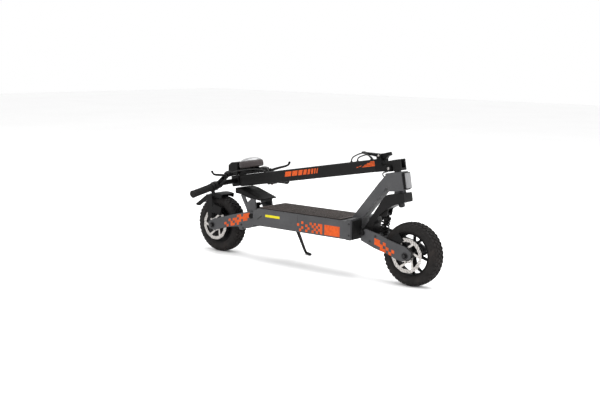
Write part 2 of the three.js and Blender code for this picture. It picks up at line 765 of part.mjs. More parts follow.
function frontRim(centre) {
  const inner = BEAD_RADIUS - 0.5;
  const barrel = turned([[inner - 6, -26], [inner, -26], [inner, 26], [inner - 6, 26]], centre, 28);
  const bore = AXLE_RADIUS + BORE_CLEARANCE;
  const hub = turned([[bore, -HUB_HALF], [22, -HUB_HALF], [22, HUB_HALF], [bore, HUB_HALF]], centre, 14);
  const spokes = Array.from({ length: 5 }, (_, i) => {
    const spoke = box(20, inner - 3, -7, 7, -7, 7);
    return spoke.rotateY((i * 2 * Math.PI) / 5).translate(centre[0], 0, centre[1]);
  });
  return join(barrel, hub, ...spokes);
}

function motorWheel(centre) {
  const inner = BEAD_RADIUS - 0.5;
  const half = [
    [AXLE_RADIUS + BORE_CLEARANCE, HUB_HALF],
    [22, HUB_HALF],
    [24, 33],
    [56, 30],
    [66, 21],
    [76, 21],
    [inner, 26],
  ];
  return turned([...half.map(([r, y]) => [r, -y]), ...half.reverse()], centre, 28);
}

function rotor([x, z]) {
  const spokeCount = 6;
  const face = new THREE.Shape();
  face.absarc(0, 0, ROTOR_RADIUS, 0, Math.PI * 2);
  const addHole = (points) => face.holes.push(new THREE.Path(points.map((p) => new THREE.Vector2(...p))));
  for (let i = 0; i < spokeCount; i += 1) {
    const start = (i * 360) / spokeCount;
    addHole([...arc(0, 0, 52, start + 8, start + 54, 3), ...arc(0, 0, 29, start + 76, start + 42, 2)]);
  }
  addHole(arc(0, 0, 22.8, 0, 337.5, 15));
  const depth = ROTOR_Y[1] - ROTOR_Y[0];
  const disc = new THREE.ExtrudeGeometry(face, { depth, bevelEnabled: false, curveSegments: 16 });
  return disc.rotateX(Math.PI / 2).translate(x, ROTOR_Y[1], z);
}

function fender() {
  const z = TYRE_RADIUS;
  const [tipX, tipZ] = FENDER_TIP;
  const outer = [...arc(0, z, 143, 76, 126, 7), FENDER_TIP, [tipX + 4, tipZ - 9]];
  const skin = plate([...outer, ...arc(0, z, 133, 140, 76, 7)], -42, 42);
  const under = [[tipX - 4, tipZ - 6], [tipX, 185]];
  const inside = [...arc(0, z, 140, 70, 126, 7), ...under, ...arc(0, z, 120, 150, 70, 5)];
  const room = plate(inside, -38.5, 38.5);
  const stay = [[-53, 260], [-17, 260], [-11, 222], [-17, 160], [-30, 152], [-42, 166], [-41, 222]];
  const stays = platePair(stay, 52, 55, 3);
  const shelf = [-1, 1].map((side) => box(-48, -23, side > 0 ? 40 : -53, side > 0 ? 53 : -40, 257, 261));
  return join(cut(skin, room), ...stays, ...shelf);
}

function wheelPieces() {
  for (const [end, centre] of [['front', [WHEELBASE, TYRE_RADIUS]], ['rear', [0, TYRE_RADIUS]]]) {
    piece(scooter, `${end}_tyre`, tyre(centre), rubber);
    piece(scooter, `${end}_rotor`, rotor(centre), steel);
  }
  piece(scooter, 'front_rim', frontRim([WHEELBASE, TYRE_RADIUS]), black);
  piece(scooter, 'rear_motor', motorWheel([0, TYRE_RADIUS]), black);
  piece(scooter, 'rear_fender', fender(), blackPlastic);
}

// ---------------------------------------------------------------- kickstand

function kickstandPieces() {
  const axis = new THREE.Vector3(...KICK_AXIS).normalize();
  const at = (distance) => new THREE.Vector3(...KICK_PIVOT).addScaledVector(axis, distance).toArray();
  const base = at(-20);
  const mountPlate = box(base[0] - 22, base[0] + 22, base[1] - 22, base[1] + 22, 159.8, DECK.bottom - GAP);
  const web = box(base[0] - 9, base[0] + 9, base[1] - 8, base[1] + 6, base[2], 161);
  const mount = join(mountPlate, web, rod(at(-30), at(-8.5), 10), rod(at(-12), at(12), 4));
  piece(scooter, 'kickstand_mount', mount, black);

  const foot = KICK_FOOT;
  const legRoute = [
    KICK_PIVOT,
    KICK_PIVOT.map((value, i) => value + (foot[i] - value) * 0.5),
    [foot[0], foot[1] - 3, foot[2] + 6],
    [foot[0] + 14, foot[1] - 3, foot[2]],
    [foot[0] + 36, foot[1] - 12, foot[2] - 0.5],
  ];
  const leg = tube(legRoute, 6.3, 12);
  const barrel = cut(join(rod(at(-8), at(8), 9.5), leg), rod(at(-16), at(13), 4.7));
  piece(scooter, 'kickstand', barrel, black);
}

deckPieces();
frontPieces();
rearFramePieces();
steeringPieces();
piece(head, 'stem_tube', stemTube(), black);
latchPieces();
controlPieces();
lampPieces();
cablePieces();
suspensionPieces();
wheelPieces();
kickstandPieces();

export default scooter;
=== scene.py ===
import json
import math

import bmesh
import bpy
from mathutils import Matrix, Vector


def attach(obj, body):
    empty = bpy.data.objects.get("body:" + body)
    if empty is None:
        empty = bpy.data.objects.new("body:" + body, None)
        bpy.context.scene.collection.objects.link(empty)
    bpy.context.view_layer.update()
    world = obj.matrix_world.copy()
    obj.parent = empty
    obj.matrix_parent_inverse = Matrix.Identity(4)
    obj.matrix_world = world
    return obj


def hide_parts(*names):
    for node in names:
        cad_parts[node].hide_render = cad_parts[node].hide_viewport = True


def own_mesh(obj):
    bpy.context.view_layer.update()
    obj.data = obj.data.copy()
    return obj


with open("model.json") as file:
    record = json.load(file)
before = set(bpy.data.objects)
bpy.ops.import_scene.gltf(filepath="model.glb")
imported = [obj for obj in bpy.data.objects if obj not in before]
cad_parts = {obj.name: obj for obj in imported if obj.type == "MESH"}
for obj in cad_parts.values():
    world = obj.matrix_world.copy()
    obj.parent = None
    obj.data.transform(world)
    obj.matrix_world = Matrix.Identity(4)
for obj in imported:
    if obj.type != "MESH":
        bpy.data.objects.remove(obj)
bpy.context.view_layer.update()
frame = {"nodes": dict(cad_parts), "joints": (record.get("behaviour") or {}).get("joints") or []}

# ---------------------------------------------------------------- frames
# Pieces are drawn in millimetres, either with the rear axle above x = 0 (W), or in the head frame (H): its
# z axis is the steering axis, its origin the foot of the steerer, and the folded stem lies along its -x.

JOINTS = {j["name"]: j for j in frame["joints"]}
MID = -JOINTS["rear_wheel_spin"]["pos_m"][0] * 1000
FRONT_AXLE = JOINTS["front_wheel_spin"]["pos_m"][0] * 1000 + MID
AXLE_Z = JOINTS["rear_wheel_spin"]["pos_m"][2] * 1000
HEAD_ORIGIN = Vector(JOINTS["steering"]["pos_m"])
HEAD_Z = Vector(JOINTS["steering"]["axis"]).normalized()
HEAD_X = Vector((HEAD_Z.z, 0, -HEAD_Z.x))
Y = Vector((0, 1, 0))


def W(x, y, z):
    return Vector((x - MID, y, z)) / 1000


def H(x, y, z):
    return HEAD_ORIGIN + (HEAD_X * x + Y * y + HEAD_Z * z) / 1000


# ---------------------------------------------------------------- shapes: (vertices, faces)


def join(*shapes):
    verts, faces = [], []
    for v, f in shapes:
        faces += [tuple(i + len(verts) for i in face) for face in f]
        verts += v
    return verts, faces


def prism(outline, y0, y1, at=W):
    n = len(outline)
    verts = [at(x, y, z) for y in (y0, y1) for x, z in outline]
    sides = [(i, (i + 1) % n, n + (i + 1) % n, n + i) for i in range(n)]
    return verts, [tuple(range(n - 1, -1, -1)), tuple(range(n, 2 * n)), *sides]


def slab(x0, x1, y0, y1, z0, z1, at=W):
    return prism([(x0, z0), (x1, z0), (x1, z1), (x0, z1)], y0, y1, at)


def basis(direction):
    d = direction.normalized()
    helper = Vector((0, 0, 1)) if abs(d.z) < 0.9 else Vector((1, 0, 0))
    u = d.cross(helper).normalized()
    return d, u, d.cross(u)


def lathe(profile, centre, direction, sides=32, ripple=None):
    """Turns (radius, height) points, in mm, about an axis; radius 0 ends the shape on the axis."""
    d, u, v = basis(direction)
    verts, rings = [], []
    for r, h in profile:
        if r == 0:
            rings.append([len(verts)])
            verts.append(centre + d * (h / 1000))
            continue
        rings.append(list(range(len(verts), len(verts) + sides)))
        for i in range(sides):
            a = 2 * math.pi * i / sides
            rr = r + (ripple(i, r, h) if ripple else 0)
            verts.append(centre + (u * math.cos(a) + v * math.sin(a)) * (rr / 1000) + d * (h / 1000))
    faces = []
    for a, b in zip(rings, rings[1:]):
        for i in range(sides):
            j = (i + 1) % sides
            if len(a) == 1:
                faces.append((a[0], b[j], b[i]))
            elif len(b) == 1:
                faces.append((a[i], a[j], b[0]))
            else:
                faces.append((a[i], a[j], b[j], b[i]))
    return verts, faces


def ring_lathe(profile, centre, direction, sides=48, ripple=None):
    """As lathe, for a closed section that doesn't reach the axis."""
    verts, faces = lathe(profile, centre, direction, sides, ripple)
    last = (len(profile) - 1) * sides
    faces += [(last + i, last + (i + 1) % sides, (i + 1) % sides, i) for i in range(sides)]
    return verts, faces


def smooth_path(points, per_span=8):
    """A Catmull-Rom curve through the points."""
    out = []
    pts = [points[0] * 2 - points[1], *points, points[-1] * 2 - points[-2]]
    for p0, p1, p2, p3 in zip(pts, pts[1:], pts[2:], pts[3:]):
        for i in range(per_span):
            t = i / per_span
            out.append(
                0.5 * (2 * p1 + (p2 - p0) * t + (2 * p0 - 5 * p1 + 4 * p2 - p3) * t * t
                       + (3 * p1 - p0 - 3 * p2 + p3) * t * t * t)
            )
    return [*out, points[-1]]


def tube(path, radius, sides=14, wide=1.0, up=None):
    """A round or flattened tube on a path; radius is a number or one for each point, in mm."""
    n = len(path)
    radii = radius if isinstance(radius, list) else [radius] * n
    tangents = [(path[min(i + 1, n - 1)] - path[max(i - 1, 0)]).normalized() for i in range(n)]
    side = up or basis(tangents[0])[1]
    verts, faces = [], []
    for p, t, r in zip(path, tangents, radii):
        side = (side - t * side.dot(t)).normalized()
        other = t.cross(side)
        for i in range(sides):
            a = 2 * math.pi * i / sides
            verts.append(p + (side * math.cos(a) * wide + other * math.sin(a)) * (r / 1000))
    for k in range(n - 1):
        for i in range(sides):
            j = (i + 1) % sides
            faces.append((k * sides + i, k * sides + j, (k + 1) * sides + j, (k + 1) * sides + i))
    faces += [tuple(range(sides - 1, -1, -1)), tuple(range((n - 1) * sides, n * sides))]
    return verts, faces


def bolt(centre, direction, radius, height):
    """A button head with a socket half as wide."""
    r, h, s = radius, height, radius * 0.5
    head = [(0, -0.4), (r, -0.4), (r, h * 0.45), (r * 0.82, h * 0.85), (s * 1.25, h), (s, h), (s, h * 0.3),
            (0, h * 0.3)]
    return lathe(head, centre, direction, 24)


# ---------------------------------------------------------------- materials


def shader(name, rough=0.5, metal=0.0, **inputs):
    m = bpy.data.materials.new(name)
    m.use_nodes = True
    b = m.node_tree.nodes["Principled BSDF"]
    b.inputs["Metallic"].default_value = metal
    b.inputs["Roughness"].default_value = rough
    for key, value in inputs.items():
        b.inputs[key.replace("_", " ")].default_value = value
    return m


def noise(m, scale, detail=4.0, stretch=None):
    nt = m.node_tree
    coord = nt.nodes.new("ShaderNodeTexCoord")
    tex = nt.nodes.new("ShaderNodeTexNoise")
    tex.inputs["Scale"].default_value = scale
    tex.inputs["Detail"].default_value = detail
    if stretch:
        mapping = nt.nodes.new("ShaderNodeMapping")
        mapping.inputs["Scale"].default_value = stretch
        nt.links.new(coord.outputs["Object"], mapping.inputs["Vector"])
        nt.links.new(mapping.outputs["Vector"], tex.inputs["Vector"])
    else:
        nt.links.new(coord.outputs["Object"], tex.inputs["Vector"])
    return tex.outputs["Fac"]


def cells(m, scale, feature="F1"):
    nt = m.node_tree
    coord = nt.nodes.new("ShaderNodeTexCoord")
    tex = nt.nodes.new("ShaderNodeTexVoronoi")
    tex.feature = feature
    tex.inputs["Scale"].default_value = scale
    nt.links.new(coord.outputs["Object"], tex.inputs["Vector"])
    return tex.outputs["Distance"]


def ramp(m, fac, stops, into="Base Color"):
    nt = m.node_tree
    r = nt.nodes.new("ShaderNodeValToRGB")
    for i, (pos, value) in enumerate(stops):
        e = r.color_ramp.elements[i] if i < 2 else r.color_ramp.elements.new(pos)
        e.position = pos
        e.color = (*value, 1) if isinstance(value, tuple) else (value, value, value, 1)
    nt.links.new(fac, r.inputs["Fac"])
    nt.links.new(r.outputs["Color"], nt.nodes["Principled BSDF"].inputs[into])


def bump(m, height, strength=0.3, distance=0.0003):
    nt = m.node_tree
    b = nt.nodes.new("ShaderNodeBump")
    b.inputs["Strength"].default_value = strength
    b.inputs["Distance"].default_value = distance
    nt.links.new(height, b.inputs["Height"])
    target = nt.nodes["Principled BSDF"].inputs["Normal"]
    if target.is_linked:
        nt.links.new(target.links[0].from_socket, b.inputs["Normal"])
    nt.links.new(b.outputs["Normal"], target)


def painted(name, dark, light, rough, specular):
    m = shader(name, rough, 0.0, Specular_IOR_Level=specular)
    ramp(m, noise(m, 9, 6), [(0.32, dark), (0.68, light)])
    ramp(m, noise(m, 45, 5), [(0.3, rough - 0.07), (0.7, rough + 0.09)], "Roughness")
    bump(m, noise(m, 1400, 2), 0.12, 0.0002)
    return m


GREY = painted("graphite_paint", (0.034, 0.034, 0.036), (0.048, 0.048, 0.050), 0.5, 0.25)
BLACK = painted("satin_black_paint", (0.0015, 0.0015, 0.0017), (0.004, 0.0037, 0.0037), 0.44, 0.1)
FORK_BLACK = painted("charcoal_paint", (0.003, 0.003, 0.003), (0.0065, 0.006, 0.006), 0.46, 0.12)

PLASTIC = shader("grained_plastic", 0.55, 0.0, Specular_IOR_Level=0.12)
ramp(PLASTIC, noise(PLASTIC, 12, 6), [(0.3, (0.002, 0.002, 0.002)), (0.7, (0.005, 0.0047, 0.0047))])
bump(PLASTIC, cells(PLASTIC, 900), 0.35, 0.0003)

POD = shader("pod_side", 0.5, 0.0, Specular_IOR_Level=0.3)
ramp(POD, noise(POD, 18, 6), [(0.3, (0.016, 0.012, 0.012)), (0.7, (0.034, 0.026, 0.026))])
bump(POD, noise(POD, 500, 3), 0.2, 0.0003)

TYRE = shader("tyre_rubber", 0.82, 0.0, Specular_IOR_Level=0.2)
TYRE_STOPS = [(0.25, (0.0055, 0.005, 0.005)), (0.6, (0.010, 0.0085, 0.008)), (0.85, (0.021, 0.016, 0.014))]
ramp(TYRE, noise(TYRE, 22, 8), TYRE_STOPS)
ramp(TYRE, noise(TYRE, 70, 6), [(0.3, 0.70), (0.7, 0.92)], "Roughness")
bump(TYRE, noise(TYRE, 650, 4), 0.4, 0.0005)

GRIP = shader("grip_rubber", 0.75, 0.0, Specular_IOR_Level=0.15)
ramp(GRIP, noise(GRIP, 30, 6), [(0.3, (0.003, 0.003, 0.003)), (0.75, (0.009, 0.0085, 0.0085))])
bump(GRIP, cells(GRIP, 700), 0.4, 0.0004)

MAT = shader("deck_mat", 0.65, 0.0, Specular_IOR_Level=0.25, Sheen_Weight=0.12, Sheen_Roughness=0.5,
             Sheen_Tint=(0.55, 0.42, 0.36, 1))
ramp(MAT, noise(MAT, 11, 7), [(0.3, (0.008, 0.0065, 0.006)), (0.7, (0.022, 0.017, 0.016))])
bump(MAT, cells(MAT, 420, "SMOOTH_F1"), 0.6, 0.0008)
bump(MAT, noise(MAT, 1500, 2), 0.3, 0.0003)

CABLE = shader("cable_jacket", 0.45, 0.0, Specular_IOR_Level=0.2)
ramp(CABLE, noise(CABLE, 60, 4), [(0.3, (0.004, 0.004, 0.004)), (0.7, (0.009, 0.009, 0.009))])
bump(CABLE, noise(CABLE, 800, 2), 0.15, 0.0002)

STEEL = shader("brushed_steel", 0.3, 1.0)
ramp(STEEL, noise(STEEL, 60, 5, (1, 1, 9)), [(0.3, (0.26, 0.245, 0.235)), (0.7, (0.46, 0.44, 0.42))])
ramp(STEEL, noise(STEEL, 240, 4, (6, 1, 1)), [(0.3, 0.22), (0.7, 0.42)], "Roughness")
bump(STEEL, noise(STEEL, 900, 2, (8, 1, 1)), 0.1, 0.0002)

DARK_STEEL = shader("black_oxide_steel", 0.38, 0.9)
ramp(DARK_STEEL, noise(DARK_STEEL, 40, 5), [(0.3, (0.018, 0.018, 0.019)), (0.7, (0.042, 0.041, 0.042))])
ramp(DARK_STEEL, noise(DARK_STEEL, 200, 4), [(0.3, 0.3), (0.7, 0.5)], "Roughness")

ORANGE = shader("orange_vinyl", 0.5, 0.0, Specular_IOR_Level=0.2)
ramp(ORANGE, noise(ORANGE, 120, 6), [(0.3, (0.36, 0.046, 0.003)), (0.65, (0.50, 0.068, 0.005))])
bump(ORANGE, noise(ORANGE, 1200, 2), 0.15, 0.0002)

YELLOW = shader("yellow_vinyl", 0.5, 0.0, Specular_IOR_Level=0.2)
ramp(YELLOW, noise(YELLOW, 90, 5), [(0.3, (0.44, 0.38, 0.004)), (0.7, (0.54, 0.47, 0.006))])

RECESS = shader("shadowed_recess", 0.8)
ramp(RECESS, noise(RECESS, 90, 3), [(0.3, (0.004, 0.004, 0.004)), (0.7, (0.010, 0.010, 0.010))])

LENS = shader("frosted_lens", 0.3, 0.0, Transmission_Weight=0.1, Coat_Weight=0.4, Coat_Roughness=0.12)
ramp(LENS, noise(LENS, 30, 3, (1, 6, 1)), [(0.3, (0.13, 0.13, 0.135)), (0.7, (0.22, 0.22, 0.225))])
bump(LENS, noise(LENS, 160, 1, (0.2, 4, 0.2)), 0.25, 0.0005)

DOME = shader("headlight_dome", 0.07, 0.0, Coat_Weight=1.0, Coat_Roughness=0.03, Specular_IOR_Level=0.9)
ramp(DOME, noise(DOME, 16, 3), [(0.3, (0.10, 0.10, 0.105)), (0.7, (0.17, 0.17, 0.175))])

GLASS_BLACK = shader("display_glass", 0.16, 0.0, Specular_IOR_Level=0.3)
ramp(GLASS_BLACK, noise(GLASS_BLACK, 20, 3), [(0.3, (0.004, 0.004, 0.005)), (0.7, (0.009, 0.009, 0.011))])

RED = shader("red_lens", 0.18, 0.0, Coat_Weight=0.8, Coat_Roughness=0.06)
ramp(RED, noise(RED, 40, 3), [(0.3, (0.07, 0.006, 0.008)), (0.7, (0.14, 0.012, 0.014))])

CELL_WRAP = shader("cell_wrap", 0.5)
ramp(CELL_WRAP, noise(CELL_WRAP, 40, 4), [(0.3, (0.03, 0.06, 0.15)), (0.7, (0.05, 0.09, 0.2))])

# ---------------------------------------------------------------- making pieces


def finish_mesh(obj, bevel, angle=32):
    for p in obj.data.polygons:
        p.use_smooth = True
    if bevel:
        m = obj.modifiers.new("edges", "BEVEL")
        m.width = bevel / 1000
        m.segments = 2
        m.limit_method = "ANGLE"
        m.angle_limit = math.radians(angle)
        m.harden_normals = True


def make(name, shape, material, body, bevel=0.0, replaces=(), sharp=32):
    verts, faces = shape
    mesh = bpy.data.meshes.new(name)
    mesh.from_pydata([tuple(v) for v in verts], [], faces)
    bm = bmesh.new()
    bm.from_mesh(mesh)
    bmesh.ops.recalc_face_normals(bm, faces=bm.faces)
    bm.to_mesh(mesh)
    bm.free()
    obj = bpy.data.objects.new(name, mesh)
    bpy.context.scene.collection.objects.link(obj)
    mesh.materials.append(material)
    finish_mesh(obj, bevel, sharp)
    mesh.set_sharp_from_angle(angle=math.radians(sharp + 3))
    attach(obj, body)
    if replaces:
        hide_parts(*replaces)
    return obj


def dress(node, material, bevel=0.8):
    """A CAD node that stays: its own mesh, welded and bevelled by modifiers, with a finished material."""
    obj = frame["nodes"][node]
    obj.data.materials.clear()
    obj.data.materials.append(material)
    normals = obj.data.attributes.get("custom_normal")
    if normals:
        obj.data.attributes.remove(normals)
    weld = obj.modifiers.new("weld", "WELD")
    weld.merge_threshold = 0.00002
    finish_mesh(obj, bevel)
    obj.modifiers.new("shading", "WEIGHTED_NORMAL")


for node in ("deck_body", "neck_frame", "rear_frame", "front_swingarm", "rear_swingarm"):
    dress(node, GREY, 1.2)
for node in ("fork_arm", "fold_base"):
    dress(node, FORK_BLACK, 1.2)
for node in ("stem_foot", "fold_lever", "bar_clamp", "brake_perch_left", "brake_perch_right",
             "kickstand_mount", "footrest"):
    dress(node, BLACK, 0.8)
for end in ("front", "rear"):
    for part in ("caliper", "axle", "pivot_bolt", "shock_upper", "shock_lower"):
        dress(f"{end}_{part}", BLACK, 0.8)
dress("stem_tube", FORK_BLACK, 0.4)
for node in ("front_light_housing", "throttle_housing", "throttle_paddle", "switch_housing"):
    dress(node, PLASTIC, 0.7)
for node in ("steerer", "lower_headset_bearing", "motor_controller"):
    dress(node, DARK_STEEL, 0.6)
dress("fold_hinge_pin", DARK_STEEL, 0.8)
dress("front_light_lens", LENS, 1.6)
dress("display", PLASTIC, 1.5)
dress("tail_light", RED, 1.2)
dress("horn_button", RED, 0.5)
dress("deck_mat", MAT, 0.8)
dress("battery_pack", CELL_WRAP, 1.0)

# ---------------------------------------------------------------- wheels

HUB_BORE = 6.8
TYRE_HALF_SECTION = [(84, 20), (84.5, 26), (90, 30.5), (93, 31.6), (94, 32.6), (95.5, 32.2), (104, 33),
                     (112, 31.6), (118, 27.6), (121.4, 21), (123.4, 11), (124.2, 0)]
TREAD_START = 6  # where the tread begins in the half section
TREAD_RADIUS = 124
TREAD_TOP = 127.3  # the knobs end here, just inside the CAD tyre
KNOB_PITCHES = 42


def tyre_surface(y):
    """Radius of the carcass at a distance from its middle plane, over the tread."""
    y = abs(y)
    tread = TYRE_HALF_SECTION[TREAD_START:]
    for (r0, y0), (r1, y1) in zip(tread, tread[1:]):
        if y1 <= y <= y0:
            return r1 + (r0 - r1) * (y - y1) / (y0 - y1)
    return tread[0][0]


def tyre_shape(centre_x):
    centre = W(centre_x, 0, AXLE_Z)
    section = [(r, -y) for r, y in TYRE_HALF_SECTION[:-1]] + [(r, y) for r, y in reversed(TYRE_HALF_SECTION)]
    shapes = [ring_lathe(section, centre, Y, 120)]

    def knob(angle, y0, y1, length, rise, skew, lean=0.0):
        verts = []
        for top in (0, 1):
            grow = 1 - 0.16 * top
            ym = (y0 + y1) / 2
            for sy, sa in ((-1, -1), (1, -1), (1, 1), (-1, 1)):
                y = ym + (y1 - y0) / 2 * sy * grow
                r = min(tyre_surface(y) + rise, TREAD_TOP) if top else tyre_surface(y) - 1.0
                a = angle + (sa * length / 2 * grow + skew * (y - ym)) / TREAD_RADIUS
                verts.append(centre + Vector((r * math.cos(a), y + lean * top, r * math.sin(a))) / 1000)
        return verts, [(0, 1, 2, 3), (7, 6, 5, 4), (0, 4, 5, 1), (1, 5, 6, 2), (2, 6, 7, 3), (3, 7, 4, 0)]

    for i in range(KNOB_PITCHES):
        a = 2 * math.pi * i / KNOB_PITCHES
        half = math.pi / KNOB_PITCHES
        shapes.append(knob(a, -6.2, 6.2, 10.5, 3.1, 0.35 if i % 2 else -0.35))
        shapes.append(knob(a + half, 8.0, 17.5, 11.5, 3.6, 0.45))
        shapes.append(knob(a + half, -17.5, -8.0, 11.5, 3.6, -0.45))
        for side in (-1, 1):
            lo, hi = (19.5, 28.5) if side > 0 else (-28.5, -19.5)
            shapes.append(knob(a, lo, hi, 11.0, 3.6, -0.25 * side, 0.3 * side))
            if i % 2 == 0:
                lo, hi = (29.4, 32.4) if side > 0 else (-32.4, -29.4)
                shapes.append(knob(a + half, lo, hi, 8.0, 1.4, 0.0, 1.2 * side))
    return join(*shapes)


for end, x in (("front", FRONT_AXLE), ("rear", 0)):
    make(f"{end}_tyre_knobby", tyre_shape(x), TYRE, f"{end}_wheel", replaces=[f"{end}_tyre"])

SPOKES = 5  # each one a fork of two arms
SPOKE_STEPS = 6


def rim_shape(centre_x):
    centre = W(centre_x, 0, AXLE_Z)
    barrel = [(83.4, -27.5), (85.4, -27.5), (85.8, -25.4), (83.4, -24.5), (82.2, -14), (80.2, -10),
              (80.2, 10), (82.2, 14), (83.4, 24.5), (85.8, 25.4), (85.4, 27.5), (83.4, 27.5), (79.5, 25),
              (77.5, 12), (77.5, -12), (79.5, -25)]
    hub = [(HUB_BORE, -43.5), (20, -43.5), (22, -42), (22, -34), (18, -30), (17, 0), (18, 30), (22, 34),
           (22, 42), (20, 43.5), (HUB_BORE, 43.5)]
    shapes = [ring_lathe(barrel, centre, Y, 96), ring_lathe(hub, centre, Y, 40)]
    for i in range(SPOKES):
        for fork in (-1, 1):
            a0 = 2 * math.pi * i / SPOKES + fork * 0.10
            a1 = 2 * math.pi * i / SPOKES + fork * 0.27
            points = []
            for k in range(SPOKE_STEPS + 1):
                t = k / SPOKE_STEPS
                a = a0 + (a1 - a0) * t * t
                r = 15 + 64.5 * t
                spot = Vector((r * math.cos(a), -6 * math.sin(math.pi * t), r * math.sin(a)))
                points.append(centre + spot / 1000)
            width = [7.5 - 2.2 * k / SPOKE_STEPS for k in range(SPOKE_STEPS + 1)]
            shapes.append(tube(points, width, 12, wide=1.35, up=Y.copy()))
    return join(*shapes)


make("front_rim_spoked", rim_shape(FRONT_AXLE), BLACK, "front_wheel", replaces=["front_rim"])

MOTOR_RIBS = 18


def hub_motor_shape():
    centre = W(0, 0, AXLE_Z)
    half = [(HUB_BORE, 43.5), (19, 43.5), (21.5, 42.5), (22, 35), (26, 33), (34, 32.6), (35, 31.4),
            (52, 30.4), (60, 29.4), (66, 27.0), (67.5, 22), (74, 21.2), (77, 22.5), (79.4, 25.6), (83.4, 27),
            (85.4, 27), (85.6, 25), (82, 24)]
    section = [(r, -y) for r, y in half] + [(r, y) for r, y in reversed(half)]
    shapes = [ring_lathe(section, centre, Y, 96)]
    for side in (-1, 1):
        for i in range(MOTOR_RIBS):
            a = 2 * math.pi * i / MOTOR_RIBS
            c, s = math.cos(a), math.sin(a)
            inner = centre + Vector((38 * c, side * 31.4, 38 * s)) / 1000
            outer = centre + Vector((60 * c, side * 29.6, 60 * s)) / 1000
            shapes.append(tube([inner, (inner + outer) / 2, outer], 1.5, 8))
    return join(*shapes)


make("rear_hub_motor", hub_motor_shape(), BLACK, "rear_wheel", replaces=["rear_motor"])


def wheel_bolts(centre_x, radius, count, y, size):
    centre = W(centre_x, 0, AXLE_Z)
    shapes = []
    for i in range(count):
        a = 2 * math.pi * (i + 0.5) / count
        spot = centre + Vector((radius * math.cos(a), y, radius * math.sin(a))) / 1000
        shapes.append(bolt(spot, Vector((0, math.copysign(1, y), 0)), size, size * 0.6))
    return join(*shapes)


motor_bolts = join(*[wheel_bolts(0, 64, 9, y, 2.8) for y in (-27.8, 27.8)])
make("rear_motor_bolts", motor_bolts, DARK_STEEL, "rear_wheel")


def disc_with_holes(outline, holes, y0, y1, centre):
    """A flat plate in the xz plane with holes, from a filled two-dimensional curve."""
    curve = bpy.data.curves.new("plate", "CURVE")
    curve.dimensions = "2D"
    curve.fill_mode = "BOTH"
    curve.extrude = (y1 - y0) / 2000
    for loop in [outline, *holes]:
        spline = curve.splines.new("POLY")
        spline.points.add(len(loop) - 1)
        for p, (x, z) in zip(spline.points, loop):
            p.co = (x / 1000, z / 1000, 0, 1)
        spline.use_cyclic_u = True
    holder = bpy.data.objects.new("plate", curve)
    bpy.context.scene.collection.objects.link(holder)
    bpy.context.view_layer.update()
    mesh = bpy.data.meshes.new_from_object(holder.evaluated_get(bpy.context.evaluated_depsgraph_get()))
    middle = (y0 + y1) / 2000
    verts = [centre + Vector((v.co.x, middle + v.co.z, v.co.y)) for v in mesh.vertices]
    faces = [tuple(p.vertices) for p in mesh.polygons]
    bpy.data.objects.remove(holder)
    bpy.data.curves.remove(curve)
    bpy.data.meshes.remove(mesh)
    return verts, faces


def polar(r, a):
    return (r * math.cos(a), r * math.sin(a))


ROTOR_HOLES = 32  # in each of its three rows
ROTOR_WAVES = 12
ROTOR_SPOKES = 6


def rotor_shape(centre_x):
    outline = [polar(69.6 - 1.3 * (1 + math.cos(ROTOR_WAVES * a)) / 2, a)
               for a in (2 * math.pi * i / 144 for i in range(144))]
    holes = [[polar(22.6, 2 * math.pi * i / 40) for i in range(40)]]
    for i in range(ROTOR_SPOKES):
        start = 2 * math.pi * i / ROTOR_SPOKES
        edge = [polar(55 - 1.2 * math.sin(6 * t * math.pi), start + math.radians(6 + 49 * t))
                for t in (k / 8 for k in range(9))]
        back = [polar(29, start + math.radians(79 - 40 * k / 5)) for k in range(6)]
        holes.append(edge + back)
    for i in range(ROTOR_HOLES):
        for r, shift, size in ((58.0, 0.0, 1.5), (61.9, 0.33, 1.9), (66.2, 0.66, 1.9)):
            cx, cz = polar(r, (i + shift) * 2 * math.pi / ROTOR_HOLES)
            holes.append([(cx + size * math.cos(b), cz + size * math.sin(b))
                          for b in (2 * math.pi * k / 10 for k in range(10))])
    return disc_with_holes(outline, holes, -49.2, -46.9, W(centre_x, 0, AXLE_Z))


def rotor_mount(centre_x):
    centre = W(centre_x, 0, AXLE_Z)
    section = [(8.5, -44), (31, -44), (31, -46.8), (21, -46.8), (20, -49.6), (8.5, -49.6)]
    return join(ring_lathe(section, centre, Y, 48), wheel_bolts(centre_x, 26.4, 6, -49.4, 3.2))


for end, x in (("front", FRONT_AXLE), ("rear", 0)):
    make(f"{end}_rotor_disc", rotor_shape(x), STEEL, f"{end}_wheel", replaces=[f"{end}_rotor"])
    make(f"{end}_rotor_carrier", rotor_mount(x), DARK_STEEL, f"{end}_wheel")

# valve stem on the front rim
VALVE_ANGLE = 0.62
valve_inwards = Vector((math.cos(VALVE_ANGLE), 0, -math.sin(VALVE_ANGLE)))
valve_at = W(FRONT_AXLE, 0, AXLE_Z) - valve_inwards * 77 / 1000
valve_profile = [(0, -1), (3.0, -1), (3.0, 8), (2.4, 9), (2.4, 19), (3.2, 20), (3.2, 26), (0, 27)]
valve = lathe(valve_profile, valve_at, valve_inwards, 16)
make("front_valve", valve, GRIP, "front_wheel")

# ---------------------------------------------------------------- shocks


def helix(bottom, top, radius, wire, turns):
    d, u, v = basis(top - bottom)
    length = (top - bottom).length
    points = []
    steps = int(turns * 20)
    for i in range(steps + 1):
        t = i / steps
        a = 2 * math.pi * turns * t
        flat = min(1, max(0, (t * turns - 0.6) / (turns - 1.2)))
        lift = wire / 1000 + flat * (length - 2 * wire / 1000)
        points.append(bottom + d * lift + (u * math.cos(a) + v * math.sin(a)) * (radius / 1000))
    return tube(points, wire, 10)


